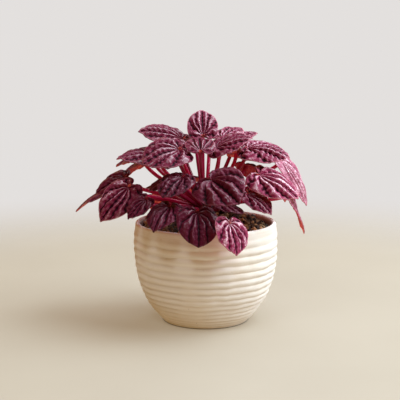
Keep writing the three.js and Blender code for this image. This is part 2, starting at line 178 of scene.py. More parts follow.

# ---------------------------------------------------------------- the leaves

# One row for each leaf, in millimetres and degrees. The point is where the stalk meets the blade.
# aim is the compass direction of the midrib, from +X towards +Y. pitch lifts the tip, and roll lifts
# the blade's left side. width is a factor. arch, cup and twist bend the blade along, across and about
# its midrib. blunt is 0 for a pointed tip and 1 for a round one. pale is how pink and bright the upper
# face is, from 0 to 1.3: partly the leaf's own colour and partly painted light, high on the leaves in
# the light and low on those in shade. rough is how much it is wrinkled across its ridges, from 0 to 1.
# folds is a factor on the height of the ridges.
LEAVES = (
    #  x    y    z   aim pitch roll length width arch cup twist blunt pale rough folds
    # the crest of the plant
    (-3, 4, 181, 92, 46, 0, 30, 0.98, 0, -14, 0, 0.4, 0.7, 0.35, 1.1),
    (-5, -30, 169, 94, 22, 0, 29, 0.95, 10, -18, 0, 0.6, 0.45, 0.2, 1.15),
    (-26, -30, 170, -142, -4, -30, 40, 1.02, 30, 8, 6, 0.3, 0.45, 0.6, 1.05),
    (-24, 10, 176, -162, 21, -28, 43, 0.9, 26, 12, -6, 0, 0.48, 0.7, 1.05),
    (16, 22, 176, 50, 20, 14, 31, 0.9, 12, 10, 0, 0.4, 0.9, 0.8, 0.9),
    (10, -15, 170, -9, 28, 26, 36, 0.95, 24, 10, -8, 0.2, 0.6, 0.55, 0.9),
    (28, 36, 175, 25, 10, 8, 27, 0.9, 10, 10, 0, 0, 0.8, 0.7, 0.9),
    (40, -10, 169.5, -7, 2, 24, 42, 0.88, 32, 28, 8, 0.1, 0.95, 0.9, 1),
    # the left side
    (-44, -5, 160, -158, 9, -22, 43, 0.95, 22, 8, 8, 0, 0.5, 0.6, 1.05),
    (-53, 38, 155, 165, -7, 8, 40, 0.85, 20, 10, 0, 0, 0.5, 0.5, 1),
    (-78, -8, 140, -170, -18, -30, 32, 0.84, 24, 10, 0, 0.2, 0.35, 0.5, 1),
    (-88, 18, 128, 178, -24, -4, 48, 0.8, 18, 8, 10, 0, 0.5, 0.3, 0.8),
    (-73, -32, 134, -138, -34, -38, 42, 0.72, 30, 30, -6, 0.1, 0.66, 0.45, 1),
    (-56, -52, 126, -140, -30, -26, 25, 0.8, 22, 10, 0, 0, 0.1, 0.4, 1),
    (-22.5, -48, 146, -126, -16, -12, 31, 0.98, 30, 6, 0, 0.5, 0.0, 0.8, 1.3),
    (-38, -24, 140, -155, -18, -10, 19, 0.95, 20, 10, 0, 0.3, 0.25, 0.5, 1),
    # the front
    (-34, -58, 120, -117, -20, -4, 34, 0.94, 28, 10, 4, 0.1, 0.02, 0.3, 1.2),
    (-8, -71, 117, -83, -46, -6, 33, 1.14, 30, 12, 0, 0.5, 0.0, 0.25, 1.25),
    (21, -76, 108, -65, -50, -12, 31, 1.04, 14, 8, 8, 0.1, 1.1, 0.35, 1.1),
    (5, -52, 144, -60, -10, 32, 43, 1.08, 34, 0, 0, 0.3, 0.2, 0.4, 1.25),
    (13, -38, 119, -30, -6, 4, 26, 0.95, 14, 8, 0, 0.3, 0.0, 0.3, 1),
    # the right side
    (75, 15, 153.5, -12, -46, 20, 51, 0.5, 34, 10, -10, 0.3, 1.3, 0.5, 0.4),
    (51, -29, 145.5, -30, -17, 30, 43, 0.84, 28, 30, -6, 0.2, 1.08, 0.45, 1),
    (80, 14, 120, 2, -57, 16, 43, 0.74, 16, -14, -26, 0, 1.25, 0.7, 0.5),
    (40, -38, 128.5, -38, -22, 12, 30, 0.8, 24, 10, 8, 0.1, 0.55, 0.5, 1.1),
    (40, 30, 147, 62, -30, 0, 28, 0.9, 26, 10, 0, 0.3, 0.05, 0.5, 1),
    (30, 18, 161, 20, -10, -20, 30, 0.9, 18, 10, 0, 0.2, 0.9, 0.5, 1),
    # the back, hidden in the front view
    (-60, 18, 152.5, 150, -25, 0, 31, 0.9, 24, 10, 0, 0.2, 0.5, 0.5, 1),
    (62, 42, 130, 32, -32, 0, 33, 0.95, 26, 10, 8, 0.2, 0.7, 0.7, 1),
    (44, 64, 118, 50, -34, 0, 29, 1.0, 26, 10, 0, 0.5, 0.2, 0.5, 1),
    (0, 70, 118, 92, -40, 0, 40, 1.0, 26, 10, -8, 0.3, 0.6, 0.6, 1),
    (-36, 62, 117, 120, -36, 0, 38, 1.0, 26, 10, 6, 0.4, 0.5, 0.5, 1),
    (-62, 40, 112, 150, -44, 0, 26, 0.85, 24, 10, 0, 0.2, 0.05, 0.5, 1),
    (4, 54, 167, 80, -10, 0, 34, 0.95, 30, 10, 8, 0.4, 0.6, 0.6, 1),
    (-22, 48, 162, 118, -4, 0, 36, 1.0, 30, 10, -8, 0.3, 0.6, 0.6, 1),
    (-9, 24, 172, 120, 4, 0, 30, 1.0, 26, 10, 0, 0.5, 0.5, 0.4, 1),
    (17, 42, 133, 68, -8, 0, 32, 0.95, 18, 10, 0, 0.3, 0.4, 0.4, 1),
    (-14, 43, 132, 104, -8, 0, 31, 0.95, 18, 10, 0, 0.4, 0.4, 0.4, 1),
    (-38, 36, 128, 138, -8, 0, 31, 0.95, 18, 10, 0, 0.2, 0.4, 0.4, 1),
    (47, -6, 133, -6, -14, 0, 29, 0.95, 22, 10, 0, 0.3, 0.5, 0.5, 1),
)


# ---------------------------------------------------------------- settings


def number(name, description, default, **limits):
    """A plain number that a user can change."""
    return bpy.props.FloatProperty(name=name, description=description, default=default, **limits)


def size(name, description, default):
    """A length that a user can change."""
    return number(name, description, default, precision=5, unit="LENGTH")


def share(name, description, default):
    """A share from 0 to 1 that a user can change."""
    return number(name, description, default, min=0, max=1, subtype="FACTOR")


def power(name, description, default):
    """The power of a light, which a user can change."""
    return number(name, description, default, min=0, unit="POWER")


def count(name, description, default):
    """A number of things that a user can change."""
    return bpy.props.IntProperty(name=name, description=description, default=default, min=1)


def colour(name, description, default):
    """A linear colour that a user can change."""
    return bpy.props.FloatVectorProperty(
        name=name, description=description, default=default, min=0, max=1, subtype="COLOR"
    )


class PotSettings(bpy.types.PropertyGroup):
    """Sizes and colours of the thrown pot."""

    height: size("Height", "From the surface to the top of the lip", POT_TOP)
    wall: size("Wall", "Thickness of the wall", 0.0046)
    floor: size("Floor", "Thickness of the floor", 0.007)
    rib_depth: size("Rib depth", "Depth of the thrown grooves", 0.0011)
    rib_count: count("Ribs", "Ribs from the foot to the lip", 13)
    rib_start: size("Rib start", "Along the wall, from the foot to the first groove", 0.0095)
    rib_spacing: size("Rib spacing", "From groove to groove at the foot, before the growth", 0.00498)
    rib_growth: size("Rib growth", "Half of what each rib is wider than the one below", 0.00013)
    rib_fade: share("Rib fade", "How much shallower the ribs are under the lip", 0.55)
    wander: size("Wander", "How far a rib rises and falls round the pot", 0.0018)
    swell: size("Swell", "How uneven the wall is", 0.0011)
    clay: colour("Clay", "The clay's main colour", (0.89, 0.86, 0.81))
    pale: colour("Pale clay", "Where the clay is lighter", (0.93, 0.92, 0.91))
    # Painted shade in the grooves and along the foot's edge; it also tints the throwing lines.
    groove: colour("Groove", "The darker clay in the grooves", (0.5, 0.4, 0.28))
    # Painted shade down the inside below the lip; it also colours the few iron specks.
    specks_and_shade: colour("Stain", "The damp wall above the soil", (0.2, 0.12, 0.06))


class SoilSettings(bpy.types.PropertyGroup):
    """Sizes and colours of the potting soil."""

    mound: size("Mound", "Rise from the edge to the middle", 0.014)
    lump: size("Lumps", "Height of the lumps", 0.0013)
    lump_pitch: size("Lump pitch", "From one lump to the next", 0.015)
    chips: count("Bark chips", "Chips of bark on the soil", 420)
    crumbs: count("Crumbs", "Crumbs of peat on the soil", 620)
    peat: colour("Peat", "The soil's dark colour", (0.014, 0.007, 0.004))
    loam: colour("Loam", "The soil's lighter colour", (0.06, 0.027, 0.012))
    bark: colour("Bark", "The palest chips of bark", (0.66, 0.36, 0.16))


class StalkSettings(bpy.types.PropertyGroup):
    """Sizes and colours of the crown and the leaf stalks."""

    crown_radius: size("Crown radius", "Radius of the short crown", 0.008)
    crown_bottom: size("Crown bottom", "Where the crown ends in the soil", 0.082)
    crown_top: size("Crown top", "Where the crown ends above the soil", 0.112)
    root_height: size("Root height", "Height at which the stalks leave the crown", 0.106)
    root_spread: size("Root spread", "How far from the middle the stalks start", 0.004)
    radius: size("Radius", "Radius of a stalk where it leaves the crown", 0.0021)
    taper: share("Taper", "Share of the radius left halfway", 0.88)
    flare: number("Flare", "Radius at the blade, as a share", 1.15, min=0.5, max=2)
    crimson: colour("Crimson", "The stalk's main colour", (0.43, 0.001, 0.055))
    rose: colour("Rose", "The stalk near its blade", (0.6, 0.02, 0.13))
    # Partly the stalk's browner foot and partly painted shade where the stalks crowd at the crown.
    sheath_and_shade: colour("Sheath", "The browner foot of the stalk", (0.16, 0.02, 0.02))


class BladeSettings(bpy.types.PropertyGroup):
    """Sizes and colours of the leaf blades."""

    thickness: size("Thickness", "Thickness of a blade", 0.0008)
    relief: share("Relief", "Height of the ridges, as a share of the length", 0.1)
    margin_relief: share("Margin relief", "Share of the relief left at the margin", 0.35)
    wave: share("Wave", "Wave of the margin, as a share of the length", 0.022)
    pucker: share("Pucker", "Depth of the deepest wrinkles, as a share of the ridge", 0.66)
    pucker_pitch: size("Pucker pitch", "From one cross wrinkle to the next", 0.0056)
    bridge: share("Bridge", "How far a wrinkle's rib fills the vein, as a share", 0.35)
    beads: share("Beads", "How far a wrinkle cuts into the crest", 0.2)
    fork: share("Fork", "Depth of the side veins that split a ridge near the margin", 0.45)
    fork_width: share("Fork width", "Their width, as a share of the ridge", 0.1)
    lean: number("Lean", "Above 1 the crests lean away from the midrib", 1.3, min=0.5)
    fullness: number("Fullness", "Below 1 the ridges are plump, with narrow veins", 0.58, min=0.2)
    slant: size("Slant", "How far a wrinkle reaches forward from the midrib's side", 0.0062)
    # Painted shade in part: the leaves with a pale of 0 are darkened to this share.
    shade: share("Shade", "Brightness of the darkest leaves", 0.42)
    around: count("Around", "Faces round a blade", 96)
    rings: count("Rings", "Faces from the stalk to the margin", 38)
    # The veins' own dark colour, deepened into painted shade in the sunken veins.
    groove: colour("Groove", "The sunken veins", (0.02, 0.001, 0.005))
    body: colour("Body", "The flanks of the ridges", (0.17, 0.007, 0.036))
    # The pale pink crests: partly the leaf's own colour and partly a painted highlight.
    crest: colour("Crest", "The crests of the ridges", (0.72, 0.35, 0.48))
    # Painted light: the flanks and valleys of the leaves with the highest pale are lit pinker.
    flush: colour("Flush", "The flanks on the palest leaves", (0.24, 0.018, 0.07))
    # Painted highlight on the crests of the leaves with a high pale.
    lit_crest: colour("Frost", "The crests of the palest leaves", (0.92, 0.67, 0.77))
    margin: colour("Margin", "The pale margin", (0.55, 0.19, 0.26))
    # The undersides run from deep to this salmon as a leaf's pale rises: partly their own colour and
    # partly painted light and shade.
    underside: colour("Underside", "The underside between the veins", (0.78, 0.13, 0.09))
    deep: colour("Deep underside", "The underside of the darkest leaves", (0.34, 0.008, 0.018))
    vein: colour("Vein", "The veins of the underside", (0.34, 0.03, 0.04))


class StageSettings(bpy.types.PropertyGroup):
    """The floor, the backdrop and the lights."""

    floor_size: size("Floor size", "Length of the floor's sides", 24.0)
    fade_start: size("Fade start", "Where the floor starts to fade into the backdrop", 0.3)
    fade_end: size("Fade end", "Where it is gone", 0.8)
    near: colour("Floor", "The floor round the pot", (0.248, 0.228, 0.194))
    glow: colour("Floor glow", "Light in the floor's shadow, for the camera alone", (0.235, 0.188, 0.13))
    bounce: colour("Bounce", "Warm light that the floor gives back to the pot", (0.27, 0.175, 0.085))
    backdrop: colour("Backdrop", "What the camera sees behind the pot", (0.77, 0.745, 0.73))
    air: colour("Air", "The even light from all round", (0.32, 0.17, 0.035))
    key: colour("Key", "The soft light from the right", (0.8, 0.92, 1.0))
    key_power: power("Key power", "Power of the soft light", 78)
    key_size: size("Key size", "Length of the soft light's sides", 1.8)
    key_distance: size("Key distance", "From the pot's foot to the soft light", 2.0)
    above: colour("Light from above", "Both lights that hang over the plant", (0.78, 0.9, 1.0))
    sky_power: power("Sky power", "Power of the wide light overhead", 31)
    sky_size: size("Sky size", "Length of the wide light's sides", 1.8)
    sky_height: size("Sky height", "How high the wide light hangs", 1.7)
    top_power: power("Top power", "Power of the small light above the front", 5)
    top_size: size("Top size", "Length of the small light's sides", 0.36)
    top_height: size("Top height", "How high the small light hangs", 1.3)


class PeperomiaSettings(bpy.types.PropertyGroup):
    """All that a user can change."""

    pot: bpy.props.PointerProperty(type=PotSettings)
    soil: bpy.props.PointerProperty(type=SoilSettings)
    stalk: bpy.props.PointerProperty(type=StalkSettings)
    blade: bpy.props.PointerProperty(type=BladeSettings)
    stage: bpy.props.PointerProperty(type=StageSettings)


# ---------------------------------------------------------------- small tools


def select_only(piece):
    bpy.ops.object.select_all(action="DESELECT")
    piece.select_set(True)
    bpy.context.view_layer.objects.active = piece


def edit_all(piece):
    """Opens a piece in edit mode with all of it selected."""
    select_only(piece)
    bpy.ops.object.mode_set(mode="EDIT")
    bpy.ops.mesh.select_all(action="SELECT")


def close_edit():
    bpy.ops.object.mode_set(mode="OBJECT")


def add_alone(operator, **values):
    """Adds an object with nothing else selected, and gives it back."""
    bpy.ops.object.select_all(action="DESELECT")
    operator(**values)
    return bpy.context.object


def smooth(piece):
    select_only(piece)
    bpy.ops.object.shade_smooth()


def apply_modifier(piece, kind, **values):
    """Adds a modifier with these values and applies it."""
    select_only(piece)
    modifier = piece.modifiers.new(kind.title(), kind)
    for name, value in values.items():
        setattr(modifier, name, value)
    bpy.ops.object.modifier_apply(modifier=modifier.name)


def ruffle(piece, name, pitch, strength, mid_level=0.5, direction="NORMAL", weights=""):
    """Moves a piece's surface by a smooth noise, as far as a vertex group's weights say."""
    noise = bpy.data.textures.new(name, "CLOUDS")
    noise.noise_scale = pitch
    noise.noise_depth = 1
    apply_modifier(
        piece,
        "DISPLACE",
        texture=noise,
        texture_coords="LOCAL",
        direction=direction,
        strength=strength,
        mid_level=mid_level,
        vertex_group=weights,
    )


def weigh(piece, name, weights):
    """Makes a vertex group with a weight for each vertex."""
    group = piece.vertex_groups.new(name=name)
    for index, weight in enumerate(weights):
        group.add([index], float(weight), "REPLACE")


def read_points(mesh):
    points = np.empty(len(mesh.vertices) * 3)
    mesh.vertices.foreach_get("co", points)
    return points.reshape(-1, 3)


def write_points(mesh, points):
    mesh.vertices.foreach_set("co", points.ravel())
    mesh.update()


def read_layer(mesh, name):
    values = np.empty(len(mesh.vertices), np.float32)
    mesh.attributes[name].data.foreach_get("value", values)
    return values.astype(float)


def write_layer(mesh, name, values):
    """Keeps a number for each vertex, which a material can read. One number serves them all."""
    layer = mesh.attributes.get(name) or mesh.attributes.new(name, "FLOAT", "POINT")
    layer.data.foreach_set("value", np.full(len(mesh.vertices), values, np.float32))


def ease(values, low, high):
    """0 below low, 1 above high and smooth in between."""
    t = np.clip((values - low) / (high - low), 0, 1)
    return t * t * (3 - 2 * t)


def near_top(values, top, band):
    """0 well below a top, 1 near it and smooth in the band between, in millimetres below the top."""
    return ease(values, top - band[0] * MM, top - band[1] * MM)


def bezier(points, t):
    """Points of a quadratic or cubic curve at the shares t."""
    degree = len(points) - 1
    t = np.asarray(t, float)[:, None]
    return sum(
        math.comb(degree, i) * (1 - t) ** (degree - i) * t**i * np.array(point, float)
        for i, point in enumerate(points)
    )


def settle(piece, name, slot, *nodes):
    """Names a finished piece and hands it to the frame."""
    piece.name = name
    piece.data.name = name
    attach(piece, "root")
    if nodes:
        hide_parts(*nodes)


def trace_and_spin(points, steps):
    """Traces a half section from point to point in the XZ plane and spins it about Z."""
    start = (points[0][0], 0, points[0][1])
    piece = add_alone(bpy.ops.mesh.primitive_plane_add, size=MM, location=start)
    bpy.ops.object.transform_apply(location=True)
    edit_all(piece)
    bpy.ops.mesh.merge(type="CENTER")
    for (x0, z0), (x1, z1) in zip(points, points[1:]):
        step = (x1 - x0, 0, z1 - z0)
        bpy.ops.mesh.extrude_region_move(TRANSFORM_OT_translate={"value": step})
    bpy.ops.mesh.select_all(action="SELECT")
    bpy.ops.mesh.spin(steps=steps, angle=2 * math.pi, center=(0, 0, 0), axis=(0, 0, 1))
    bpy.ops.mesh.select_all(action="SELECT")
    bpy.ops.mesh.remove_doubles(threshold=MERGE_DISTANCE)
    bpy.ops.mesh.normals_make_consistent(inside=False)
    close_edit()
    return piece


# ---------------------------------------------------------------- materials


class Nodes:
    """A short way to add nodes to a material or to a node group."""

    def __init__(self, tree):
        self.tree = tree

    def add(self, kind, inputs=None, **settings):
        node = self.tree.nodes.new("ShaderNode" + kind)
        for name, value in settings.items():
            setattr(node, name, value)
        for name, value in (inputs or {}).items():
            self.feed(node.inputs[name], value)
        return node

    def feed(self, socket, value):
        if isinstance(value, bpy.types.NodeSocket):
            self.tree.links.new(value, socket)
        elif socket.type == "RGBA" and len(value) == 3:
            socket.default_value = (*value, 1)
        else:
            socket.default_value = value

    def mix(self, factor, a, b):
        """Mixes two colours."""
        node = self.add("Mix", {"Factor": factor}, data_type="RGBA")
        self.feed(node.inputs[MIX_A], a)
        self.feed(node.inputs[MIX_B], b)
        return node.outputs[MIX_RESULT]

    def coats(self, base, *coats):
        """Lays colours over a base, each with its own factor."""
        for factor, tint in coats:
            base = self.mix(factor, base, tint)
        return base

    def compute(self, operation, a, b):
        node = self.add("Math", operation=operation)
        self.feed(node.inputs[0], a)
        self.feed(node.inputs[1], b)
        return node.outputs[0]

    def times(self, value, *factors):
        for factor in factors:
            value = self.compute("MULTIPLY", value, factor)
        return value

    def spread(self, value, low, high, to_low=0.0, to_high=1.0):
        """Maps a value smoothly from one range to another."""
        inputs = {
            "Value": value,
            "From Min": low,
            "From Max": high,
            "To Min": to_low,
            "To Max": to_high,
        }
        return self.add("MapRange", inputs, interpolation_type="SMOOTHSTEP").outputs["Result"]

    def between(self, value, low, high):
        """Maps a value from 0 to 1 smoothly to another range."""
        return self.spread(value, 0.0, 1.0, low, high)

    def layer(self, name):
        """A number kept on the mesh."""
        return self.add("Attribute", attribute_name=name).outputs["Fac"]

    def place(self):
        return self.add("TexCoord").outputs["Object"]

    def cells(self, vector, scale, feature="F1"):
        """Distance from the middle or from the edge of an uneven cell."""
        inputs = {"Vector": vector, "Scale": scale}
        return self.add("TexVoronoi", inputs, feature=feature).outputs["Distance"]

    def group(self, group, output, **inputs):
        return self.add("Group", inputs, node_tree=group).outputs[output]


def new_group(name, output, inputs):
    """An empty node group with a Vector input, these number inputs and one number output."""
    group = bpy.data.node_groups.new(name, "ShaderNodeTree")
    group.interface.new_socket("Vector", in_out="INPUT", socket_type="NodeSocketVector")
    for label, default in inputs.items():
        socket = group.interface.new_socket(label, in_out="INPUT", socket_type="NodeSocketFloat")
        socket.default_value = default
    group.interface.new_socket(output, in_out="OUTPUT", socket_type="NodeSocketFloat")
    given = group.nodes.new("NodeGroupInput").outputs
    made = group.nodes.new("NodeGroupOutput").inputs[output]
    return group, Nodes(group), given, made


def mottle_group():
    """Soft patches from 0 to 1, with the low and high ends cut by Low and High."""
    group, nodes, given, made = new_group(
        "Mottle", "Tone", {"Scale": 20.0, "Detail": 3.0, "Low": 0.35, "High": 0.65}
    )
    noise = nodes.add("TexNoise", {name: given[name] for name in ("Vector", "Scale", "Detail")})
    nodes.feed(made, nodes.spread(noise.outputs["Fac"], given["Low"], given["High"]))
    return group


def grain_group():
    """A fine height in two sizes, for a Bump node."""
    group, nodes, given, made = new_group("Grain", "Height", {"Scale": 400.0, "Fine": 0.35})
    coarse = nodes.add("TexNoise", {"Vector": given["Vector"], "Scale": given["Scale"]})
    finer = nodes.times(given["Scale"], 3.3)
    fine = nodes.add("TexNoise", {"Vector": given["Vector"], "Scale": finer, "Detail": 1.0})
    weighed = nodes.times(fine.outputs["Fac"], given["Fine"])
    nodes.feed(made, nodes.compute("ADD", coarse.outputs["Fac"], weighed))
    return group


def shared_group(name):
    """The named group, which is built the first time a material asks for it."""
    makers = {"Mottle": mottle_group, "Grain": grain_group}
    return bpy.data.node_groups.get(name) or makers[name]()


class Finish(Nodes):
    """A material with its Principled shader and the shared groups at hand."""

    def __init__(self, name, **constants):
        self.material = bpy.data.materials.new(name)
        self.material.use_nodes = True
        super().__init__(self.material.node_tree)
        self.shader = self.tree.nodes["Principled BSDF"]
        for socket, value in constants.items():
            self.shader.inputs[socket.replace("_", " ")].default_value = value

    def mottle(self, vector, scale, low, high, detail=3.0):
        """Soft patches from 0 to 1. The noise is 0 below low and 1 above high."""
        inputs = {"Vector": vector, "Scale": scale, "Detail": detail, "Low": low, "High": high}
        return self.group(shared_group("Mottle"), "Tone", **inputs)

    def grain(self, vector, scale, fine=0.35):
        """A fine rough height. fine is the share of its finest part."""
        return self.group(shared_group("Grain"), "Height", Vector=vector, Scale=scale, Fine=fine)

    def toned(self, base):
        """A colour made brighter or darker by the piece's own tone."""
        inputs = {"Value": self.layer("tone"), "Color": base}
        return self.add("HueSaturation", inputs).outputs["Color"]

    def done(self, base, roughness, height, strength, distance):
        """Feeds the shader and gives back the material. strength and distance are the bumps'."""
        bump = self.add("Bump", {"Height": height, "Strength": strength, "Distance": distance})
        self.feed(self.shader.inputs["Base Color"], base)
        self.feed(self.shader.inputs["Roughness"], roughness)
        self.feed(self.shader.inputs["Normal"], bump.outputs["Normal"])
        return self.material


def stoneware(pot):
    """Matt cream clay with throwing lines and a few iron specks, and with painted shade in the grooves,
    at the foot's edge and down the inside below the lip.
    """
    clay = Finish("stoneware")
    place = clay.place()
    squeezed = clay.add("Mapping", {"Vector": place, "Scale": (6.0, 6.0, 420.0)}).outputs["Vector"]
    patches = clay.mottle(place, 26.0, 0.36, 0.66)
    lines = clay.mottle(squeezed, 1.0, 0.3, 0.72)
    groove_shade_patches = clay.mottle(place, 30.0, 0.35, 0.6, 1.0)
    dots = clay.spread(clay.cells(place, 260.0), 0.06, 0.16, 1.0, 0.0)
    chosen = clay.compute("GREATER_THAN", clay.mottle(place, 190.0, 0.4, 0.8), 0.62)
    base = clay.coats(
        pot.clay,
        (patches, pot.pale),
        (clay.times(lines, 0.16), pot.groove),
        # Painted shade: darker where the wall lies deep in a groove, more so in some patches.
        (clay.times(clay.layer("groove"), clay.between(groove_shade_patches, 0.1, 0.4)), pot.groove),
        # Painted shade: darker down the inside, below the lip.
        (clay.times(clay.layer("inside_shade"), clay.between(patches, 0.4, 0.65)), pot.specks_and_shade),
        (clay.times(dots, chosen, 0.5), pot.specks_and_shade),
    )
    roughness = clay.between(patches, 0.68, 0.52)
    height = clay.compute("ADD", clay.grain(place, 520.0), clay.times(lines, 0.9))
    return clay.done(base, roughness, height, 0.35, 0.25 * MM)


def potting_soil(soil):
    """Dark crumbly peat."""
    peat = Finish("potting_soil")
    place = peat.place()
    lumps = peat.mottle(place, 240.0, 0.4, 0.7)
    fibres = peat.mottle(place, 900.0, 0.45, 0.75)
    base = peat.coats(soil.peat, (lumps, soil.loam), (peat.times(fibres, 0.2), soil.bark))
    return peat.done(base, 0.95, peat.grain(place, 380.0, 0.6), 0.9, 0.8 * MM)


def bark(soil):
    """Chips and crumbs, each with its own tone."""
    chip = Finish("bark")
    place = chip.place()
    fibres = chip.times(chip.mottle(place, 700.0, 0.35, 0.7), 0.35)
    base = chip.coats(soil.peat, (chip.layer("tone"), soil.bark), (fibres, soil.loam))
    return chip.done(base, 0.85, chip.grain(place, 800.0, 0.5), 0.7, 0.4 * MM)


def stalk_skin(stalk):
    """Smooth juicy crimson, rosier at the blade, and browner and darker at the foot: partly its own
    colour and partly painted shade where the stalks crowd together at the crown.
    """
    skin = Finish(
        "stalk_skin",
        Coat_Roughness=0.2,
        Coat_Weight=0.22,
        Specular_IOR_Level=0.35,
        Specular_Tint=(1.0, 0.5, 0.7, 1.0),
    )
    place = skin.place()
    along = skin.layer("along")
    flecks = skin.mottle(place, 520.0, 0.42, 0.7)
    base = skin.coats(
        # The foot's colour, partly painted shade.
        stalk.sheath_and_shade,
        (skin.spread(along, 0.04, 0.36), stalk.crimson),
        (skin.spread(along, 0.45, 1.0), stalk.rose),
        (skin.times(flecks, 0.2), stalk.rose),
    )
    roughness = skin.between(flecks, 0.3, 0.42)
    return skin.done(skin.toned(base), roughness, skin.grain(place, 700.0), 0.2, 0.15 * MM)


def blade_top(blade):
    """Waxy upper face: near black veins deepened with painted shade, wine flanks, pale pink crests that
    are partly a painted highlight, and a pale margin. Leaves with a high pale get more painted light.
    """
    skin = Finish(
        "blade_top",
        Coat_Roughness=0.2,
        Specular_IOR_Level=0.14,
        Specular_Tint=(1.0, 0.66, 0.78, 1.0),
    )
    place = skin.place()
    relief, pale = skin.layer("relief"), skin.layer("pale")
    blister = skin.spread(skin.cells(place, 340.0, "DISTANCE_TO_EDGE"), 0.02, 0.24)
    # Round spots of painted highlight on the leaves with the highest pale.
    highlight_spots = skin.spread(skin.cells(place, 150.0, "SMOOTH_F1"), 0.15, 0.55, 1.0, 0.35)
    # Painted light: the leaves with a high pale get lit flanks and crests.
    lit_share = skin.spread(pale, 0.85, 1.2)
    painted_light_mask = skin.spread(pale, 1.1, 1.5, 0.0, 0.8)
    # The paler a leaf is, the further its pale crests, partly a painted highlight, reach down the
    # ridges.
    crests = skin.times(
        skin.spread(relief, skin.between(pale, 0.94, 0.73), 1.0),
        skin.between(skin.mottle(place, 520.0, 0.3, 0.72, 4.0), 0.3, 1.0),
        skin.mottle(place, 95.0, 0.28, 0.62, 2.0),
        skin.between(pale, 0.12, 1.0),
    )
    # The ribs of the wrinkles get painted glints too, but for those deep in a vein.
    glint = skin.times(
        skin.layer("wrinkle"),
        skin.spread(relief, 0.2, 0.55, 0.0, 0.55),
        skin.spread(pale, 0.0, 0.7, 0.12, 1.0),
    )
    light = skin.compute("MAXIMUM", skin.compute("MAXIMUM", crests, glint), skin.times(painted_light_mask, highlight_spots))
    light = skin.times(light, skin.between(blister, 0.6, 1.0))
    edge = skin.spread(skin.layer("out"), 0.955, 0.985, 0.0, 0.8)
    base = skin.coats(
        skin.mix(painted_light_mask, blade.groove, blade.flush),
        (skin.spread(relief, 0.1, 0.5), skin.mix(lit_share, blade.body, blade.flush)),
        (light, skin.mix(lit_share, blade.crest, blade.lit_crest)),
        (skin.times(edge, skin.spread(pale, 0.0, 0.7, 0.3, 1.0)), blade.margin),
    )
    wax = skin.times(skin.spread(relief, 0.7, 1.0, 0.0, 0.9), skin.spread(pale, 0.0, 0.5, 0.5, 1.0))
    skin.feed(skin.shader.inputs["Coat Weight"], wax)
    roughness = skin.spread(relief, 0.1, 1.0, 0.6, 0.34)
    height = skin.compute("ADD", skin.times(skin.grain(place, 520.0, 0.5), 0.5), blister)
    return skin.done(skin.toned(base), roughness, height, 0.7, 0.35 * MM)


def blade_under(blade):
    """Matt salmon underside with crimson veins, faintly lit as if light came through the blade."""
    skin = Finish("blade_under", Specular_IOR_Level=0.25, Emission_Strength=0.22)
    place = skin.place()
    patches = skin.mottle(place, 160.0, 0.35, 0.7)
    veins = skin.spread(skin.layer("relief"), 0.12, 0.5, 1.0, 0.0)
    base = skin.coats(
        blade.deep,
        # Darker undersides on the leaves with a low pale: partly painted shade.
        (skin.spread(skin.layer("pale"), 0.0, 0.6), blade.underside),
        (skin.times(patches, 0.3), blade.vein),
        (skin.times(veins, 0.7), blade.vein),
    )
    # A painted glow: the underside shines faintly in its own colour, standing in for light through the
    # blade.
    skin.feed(skin.shader.inputs["Emission Color"], base)
    roughness = skin.between(patches, 0.5, 0.62)
    return skin.done(base, roughness, skin.grain(place, 620.0), 0.3, 0.25 * MM)


def floor_paint(stage):
    """Plain pale floor that glows a little, but not under the foot, and fades into the backdrop."""
    paint = Finish("floor_paint", Emission_Strength=1.0)
    place = paint.place()
    far = paint.add("VectorMath", {"Vector": place}, operation="LENGTH").outputs["Value"]
    patches = paint.mottle(place, 9.0, 0.2, 0.8)
    base = paint.mix(patches, [FLOOR_SHADE * part for part in stage.near], stage.near)
    # The glow stops under the foot, which leaves a painted contact shadow there.
    shadow = paint.spread(far, *(part * FOOT_RADIUS * MM for part in CONTACT), 1.0, 0.0)
    seen = paint.add("LightPath").outputs["Is Camera Ray"]
    glow = paint.mix(shadow, paint.mix(seen, stage.bounce, stage.glow), BLACK)
    paint.feed(paint.shader.inputs["Emission Color"], glow)
    alpha = paint.spread(far, stage.fade_start, stage.fade_end, 1.0, 0.0)
    paint.feed(paint.shader.inputs["Alpha"], alpha)
    return paint.done(base, 0.6, paint.grain(place, 60.0), 0.03, 0.2 * MM)


# ---------------------------------------------------------------- the pot


def wall_line():
    """Points of the smooth outer wall from the foot to the lip, and how far along it each is."""
    t = np.linspace(0, 1, WALL_SAMPLES)
    line = np.vstack([bezier(WALL_LOWER, t), bezier(WALL_UPPER, t)[1:]]) * MM
    steps = np.hypot(*np.diff(line, axis=0).T)
    return line, np.concatenate([[0], np.cumsum(steps)])


def wall_point(along, out):
    """A point of the outer wall, at a length along it from the foot, moved out along its normal."""
    line, lengths = wall_line()
    here = np.array([np.interp(along, lengths, line[:, i]) for i in (0, 1)])
    slope = np.gradient(line, lengths, axis=0)
    tangent = np.array([np.interp(along, lengths, slope[:, i]) for i in (0, 1)])
    return here[0] + tangent[1] * out, here[1] - tangent[0] * out


def wall_length():
    return wall_line()[1][-1]


def inner_wall(pot, gap, stops=INSIDE_STOPS):
    """The inside of the wall from under the lip to the floor, moved in towards the axis by a gap."""
    points = [wall_point(stop * wall_length(), -pot.wall - gap) for stop in stops]
    return [(x, max(z, pot.floor + gap)) for x, z in points]


